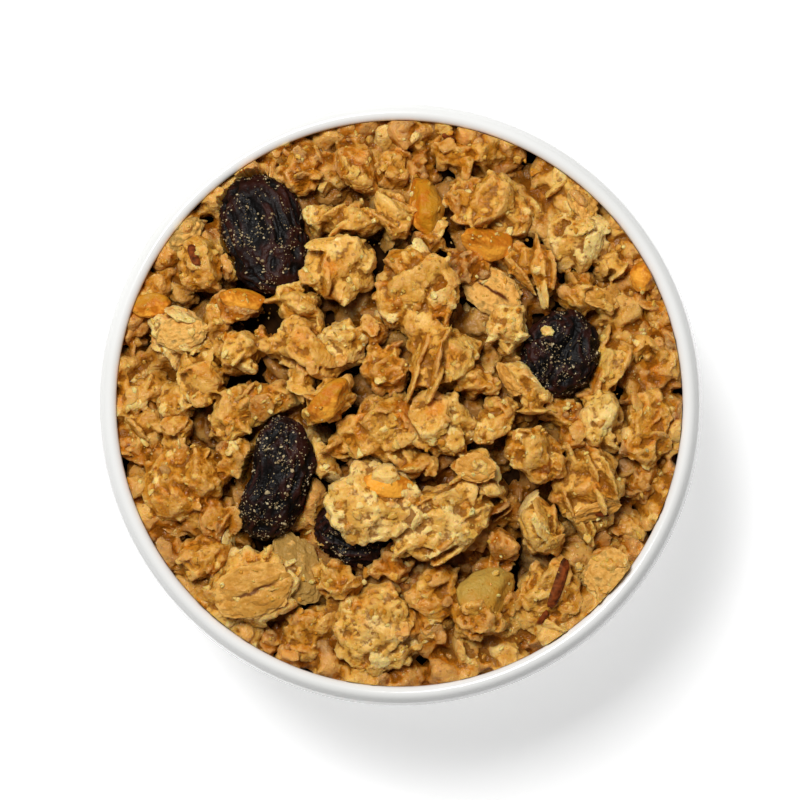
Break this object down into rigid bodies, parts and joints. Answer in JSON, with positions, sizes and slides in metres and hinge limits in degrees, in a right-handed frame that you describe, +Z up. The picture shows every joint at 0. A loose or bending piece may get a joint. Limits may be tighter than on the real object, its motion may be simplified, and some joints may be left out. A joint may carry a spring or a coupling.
{
  "type": "bowl of granola",
  "caption": "Small round white bowl with an inward-leaning wall, heaped with baked oat clusters, nut pieces and raisins.",
  "frame": {"origin": "on the table under the middle of the foot ring", "axes": "+Z up; +Y towards the top of the picture and +X towards its right, seen from above"},
  "size_m": [0.0774, 0.0774, 0.0437],
  "materials": {
    "bowl_glaze": "gloss",
    "granola": "matte",
    "raisin": "satin"
  },
  "bodies": {
    "root": {"bowl": "bowl_glaze", "granola": "granola", "raisin_upper_left": "raisin", "raisin_right": "raisin", "raisin_left": "raisin", "raisin_low": "raisin"}
  },
  "joints": []
}
